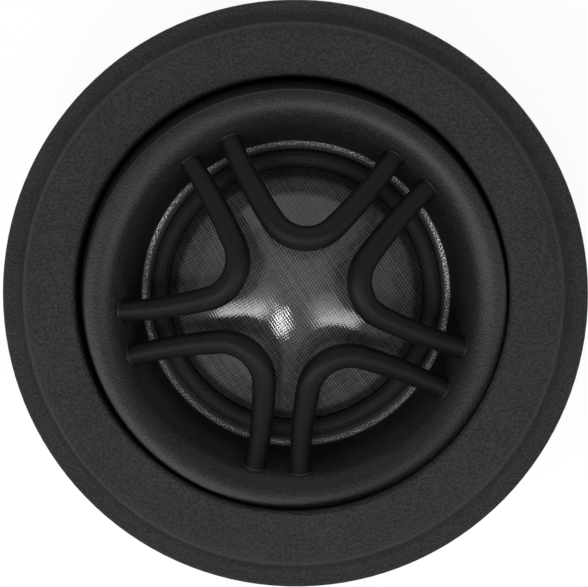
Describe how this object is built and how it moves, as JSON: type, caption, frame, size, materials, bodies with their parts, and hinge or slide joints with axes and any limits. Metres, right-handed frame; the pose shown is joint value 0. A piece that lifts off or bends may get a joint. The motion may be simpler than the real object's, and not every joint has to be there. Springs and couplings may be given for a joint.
{
  "type": "car tweeter",
  "caption": "Soft-dome car tweeter with a star-shaped bar guard, in a round unit that swivels and tilts in a flush-mount ring.",
  "frame": {"origin": "centre of the barrel, in the plane where the ring's flange sits on the panel", "axes": "+Z out of the panel towards the listener, +X right and +Y up as the front is seen"},
  "size_m": [0.058, 0.058, 0.03],
  "materials": {
    "ring_plastic": "fine spark-eroded texture",
    "bezel_plastic": "fine spark-eroded texture",
    "guard_plastic": "smooth satin",
    "shell_plastic": "plain moulded",
    "nylon": "plain moulded",
    "dome_cloth": "coated woven cloth",
    "surround_cloth": "coated woven cloth",
    "foam": "closed-cell foam",
    "felt": "pressed felt",
    "rubber": "moulded",
    "steel": "zinc plated",
    "spring_steel": "rolled strip",
    "nickel": "nickel plated",
    "phenolic": "paper laminate",
    "brass": "punched strip",
    "former_film": "polyimide film",
    "copper_wire": "enamelled wire",
    "lead_sleeve": "PVC insulation"
  },
  "bodies": {
    "mount": {"mounting_ring": "ring_plastic", "panel_gasket": "foam", "friction_washer": "felt", "wave_washer": "spring_steel", "rear_cap": "shell_plastic", "cap_screws": "steel", "cable_grommet": "rubber"},
    "swivel": {"swivel_ring": "nylon", "tilt_pins": "steel"},
    "unit": {"front_bezel": "bezel_plastic", "guard_loop_1": "guard_plastic", "guard_loop_2": "guard_plastic", "guard_loop_3": "guard_plastic", "guard_loop_4": "guard_plastic", "guard_loop_5": "guard_plastic", "rear_shell": "shell_plastic", "shell_screws": "steel", "diaphragm_ring": "shell_plastic", "surround": "surround_cloth", "magnet_yoke": "steel", "magnet": "nickel", "top_plate": "steel", "damping_pad": "felt", "terminal_board": "phenolic", "positive_terminal": "brass", "negative_terminal": "brass", "terminal_rivets": "brass", "coil_leads": "lead_sleeve"},
    "diaphragm": {"dome": "dome_cloth", "coil_former": "former_film", "coil_winding": "copper_wire"}
  },
  "joints": [
    {"name": "aim_spin", "type": "hinge", "parent": "mount", "child": "swivel", "pos_m": [0, 0, -0.002], "axis": [0, 0, 1], "range_deg": [-170, 170]},
    {"name": "aim_tilt", "type": "hinge", "parent": "swivel", "child": "unit", "pos_m": [0, 0, -0.002], "axis": [0.8387, 0.5446, 0], "range_deg": [-22.5, 7.5]},
    {"name": "dome_stroke", "type": "slide", "parent": "unit", "child": "diaphragm", "axis": [0.0711, -0.1095, 0.9914], "range_m": [-0.0005, 0.0005], "stiffness_N_per_m": 1000, "deforming": ["surround"]}
  ]
}
